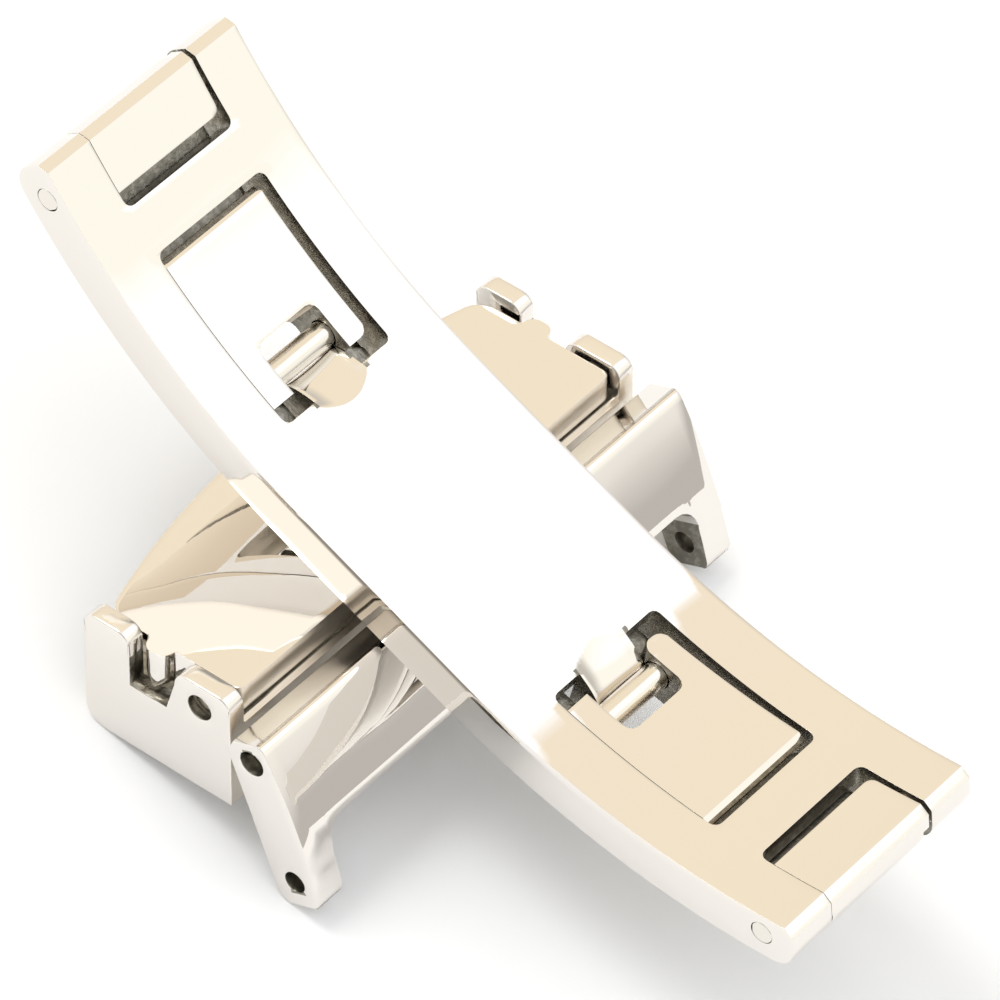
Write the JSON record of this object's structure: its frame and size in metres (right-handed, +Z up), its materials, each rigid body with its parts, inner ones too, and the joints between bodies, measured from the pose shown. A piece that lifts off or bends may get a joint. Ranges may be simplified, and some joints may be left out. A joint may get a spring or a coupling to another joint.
{
  "type": "watch strap clasp",
  "caption": "Closed double-folding watch strap clasp with a curved base plate, two folding arms, a strap clamp and a spring bar bracket that stand below it.",
  "frame": {"origin": "centre of the underside of the whole clasp as it stands, where its two lowest edges meet the surface", "axes": "+X along the base plate towards the arm that carries the spring bar bracket, +Y across the clasp along all its hinges, +Z up"},
  "size_m": [0.034, 0.0208, 0.0136],
  "materials": {
    "polished_steel": "mirror polished",
    "satin_steel": "polished, with satin side faces",
    "pin_steel": "drawn and polished wire"
  },
  "bodies": {
    "base": {"base_plate": "polished_steel", "clamp_arm_pin": "pin_steel", "bracket_arm_pin": "pin_steel"},
    "clamp_side_arm": {"clamp_arm": "polished_steel", "clamp_arm_latch_bar": "pin_steel"},
    "bracket_side_arm": {"bracket_arm": "polished_steel", "bracket_arm_latch_bar": "pin_steel"},
    "strap_clamp": {"strap_clamp_shell": "satin_steel", "strap_peg": "pin_steel", "clamp_hinge_pin": "pin_steel"},
    "clamp_flap": {"clamp_plate": "polished_steel"},
    "bracket": {"strap_bracket": "satin_steel", "bracket_hinge_pin": "pin_steel"}
  },
  "joints": [
    {"name": "clamp_arm_hinge", "type": "hinge", "parent": "base", "child": "clamp_side_arm", "pos_m": [-0.01583, 0, 0.01247], "axis": [0, 1, 0], "range_deg": [0, 170]},
    {"name": "bracket_arm_hinge", "type": "hinge", "parent": "base", "child": "bracket_side_arm", "pos_m": [0.01581, 0, 0.00748], "axis": [0, -1, 0], "range_deg": [0, 170]},
    {"name": "strap_clamp_hinge", "type": "hinge", "parent": "clamp_side_arm", "child": "strap_clamp", "pos_m": [-0.00228, 0, 0.00465], "axis": [0, -1, 0], "range_deg": [-25.5, 13]},
    {"name": "clamp_flap_hinge", "type": "hinge", "parent": "strap_clamp", "child": "clamp_flap", "pos_m": [-0.00228, 0, 0.00465], "axis": [0, 1, 0], "range_deg": [0, 35]},
    {"name": "bracket_hinge", "type": "hinge", "parent": "bracket_side_arm", "child": "bracket", "pos_m": [0.00024, 0, 0.00475], "axis": [0, 1, 0], "range_deg": [-42.7, 22]}
  ]
}
